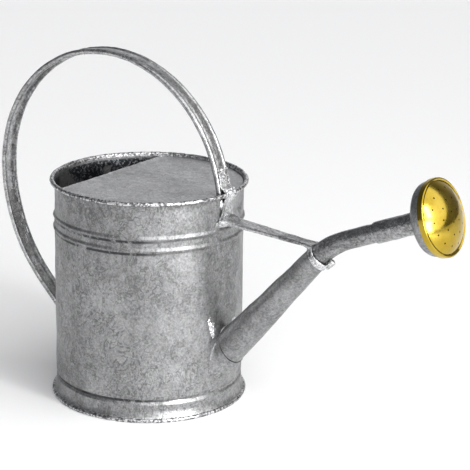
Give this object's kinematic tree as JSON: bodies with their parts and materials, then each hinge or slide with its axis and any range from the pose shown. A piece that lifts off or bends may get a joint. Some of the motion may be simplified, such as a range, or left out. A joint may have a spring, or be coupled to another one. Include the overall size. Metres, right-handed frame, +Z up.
{
  "type": "watering can",
  "caption": "Round metal watering can with a half hood, looped strip handle, bent braced spout and a pull-off brass sprinkling rose.",
  "frame": {"origin": "centre of the standing ring, on the floor, on the axis of the round tank", "axes": "+Z up along the tank's axis, +X from the tank's axis towards the spout and the rose, +Y to the left of the spout; the can is the same on both sides of the plane y = 0"},
  "size_m": [0.6219, 0.2314, 0.4044],
  "materials": {
    "galvanised": "hot-dip galvanised sheet, satin with spangle",
    "wire": "plain steel wire",
    "rivet": "galvanised rivet",
    "rose_brass": "polished brass"
  },
  "bodies": {
    "can": {"body_wall": "galvanised", "rim_wire": "wire", "bottom_pan": "galvanised", "hood": "galvanised", "hood_wire": "wire", "handle": "galvanised", "rear_rivets": "rivet", "front_rivet": "rivet", "spout_cone": "galvanised", "spout_elbow": "galvanised", "spout_boot": "galvanised", "spout_collar": "galvanised", "brace": "galvanised"},
    "rose": {"rose_socket": "galvanised", "rose_back": "galvanised", "rose_face": "rose_brass"}
  },
  "joints": [
    {"name": "rose_pull", "type": "slide", "parent": "can", "child": "rose", "axis": [0.9232, 0, 0.3843], "range_m": [0, 0.05]}
  ]
}
